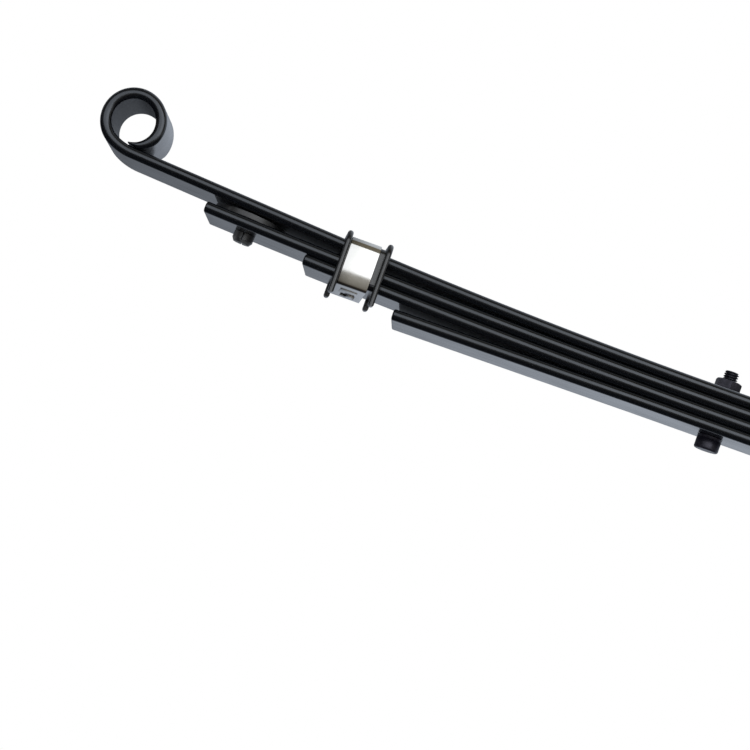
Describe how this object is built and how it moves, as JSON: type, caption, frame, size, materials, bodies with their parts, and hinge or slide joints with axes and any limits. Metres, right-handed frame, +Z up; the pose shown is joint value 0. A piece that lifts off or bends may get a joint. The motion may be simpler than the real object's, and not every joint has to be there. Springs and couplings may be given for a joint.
{
  "type": "leaf spring",
  "caption": "Semi-elliptic vehicle leaf spring with rolled upturned eyes, strapped rebound clips, tip pads and a centre bolt.",
  "frame": {"origin": "on the centre bolt's axis, in the flat underside of the helper leaf where the spring sits on its axle seat", "axes": "+X along the spring towards the rear eye, +Y across the leaves, +Z up, from the seat towards the eyes"},
  "size_m": [0.951, 0.0822, 0.1037],
  "materials": {
    "leaf_paint": "gloss black enamel over spring steel",
    "black_fastener": "black oxide steel, satin",
    "liner_plastic": "satin black moulded plastic",
    "band_steel": "bright stainless strip",
    "pad_plastic": "black nylon, slightly worn"
  },
  "bodies": {
    "main": {"main_leaf": "leaf_paint"},
    "seat": {"second_leaf": "leaf_paint", "third_leaf": "leaf_paint", "helper_leaf": "leaf_paint", "centre_bolt": "black_fastener", "centre_nut": "black_fastener"},
    "front_clip": {"front_clip_liner": "liner_plastic", "front_clip_band": "band_steel"},
    "rear_clip": {"rear_clip_liner": "liner_plastic", "rear_clip_band": "band_steel"},
    "front_pad": {"front_tip_pad": "pad_plastic"},
    "rear_pad": {"rear_tip_pad": "pad_plastic"}
  },
  "joints": [
    {"name": "seat_travel", "type": "slide", "parent": "main", "child": "seat", "axis": [0, 0, 1], "range_m": [-0.012, 0.04], "stiffness_N_per_m": 65000, "deforming": ["main_leaf", "second_leaf", "third_leaf", "helper_leaf"]},
    {"name": "front_clip_swing", "type": "hinge", "parent": "main", "child": "front_clip", "pos_m": [-0.3861, 0, 0.0272], "axis": [0, -1, 0], "range_deg": [-3, 9]},
    {"name": "front_pad_swing", "type": "hinge", "parent": "main", "child": "front_pad", "pos_m": [-0.4083, 0, 0.0356], "axis": [0, -1, 0], "range_deg": [-2.2, 6.6]},
    {"name": "rear_clip_swing", "type": "hinge", "parent": "main", "child": "rear_clip", "pos_m": [0.3861, 0, 0.0272], "axis": [0, 1, 0], "range_deg": [-3, 9]},
    {"name": "rear_pad_swing", "type": "hinge", "parent": "main", "child": "rear_pad", "pos_m": [0.4083, 0, 0.0356], "axis": [0, 1, 0], "range_deg": [-2.2, 6.6]}
  ],
  "couplings": [
    {"joint": "front_clip_swing", "follows": "seat_travel", "rad_per_m": 3.698},
    {"joint": "front_pad_swing", "follows": "seat_travel", "rad_per_m": 2.752},
    {"joint": "rear_clip_swing", "follows": "seat_travel", "rad_per_m": 3.698},
    {"joint": "rear_pad_swing", "follows": "seat_travel", "rad_per_m": 2.752}
  ]
}
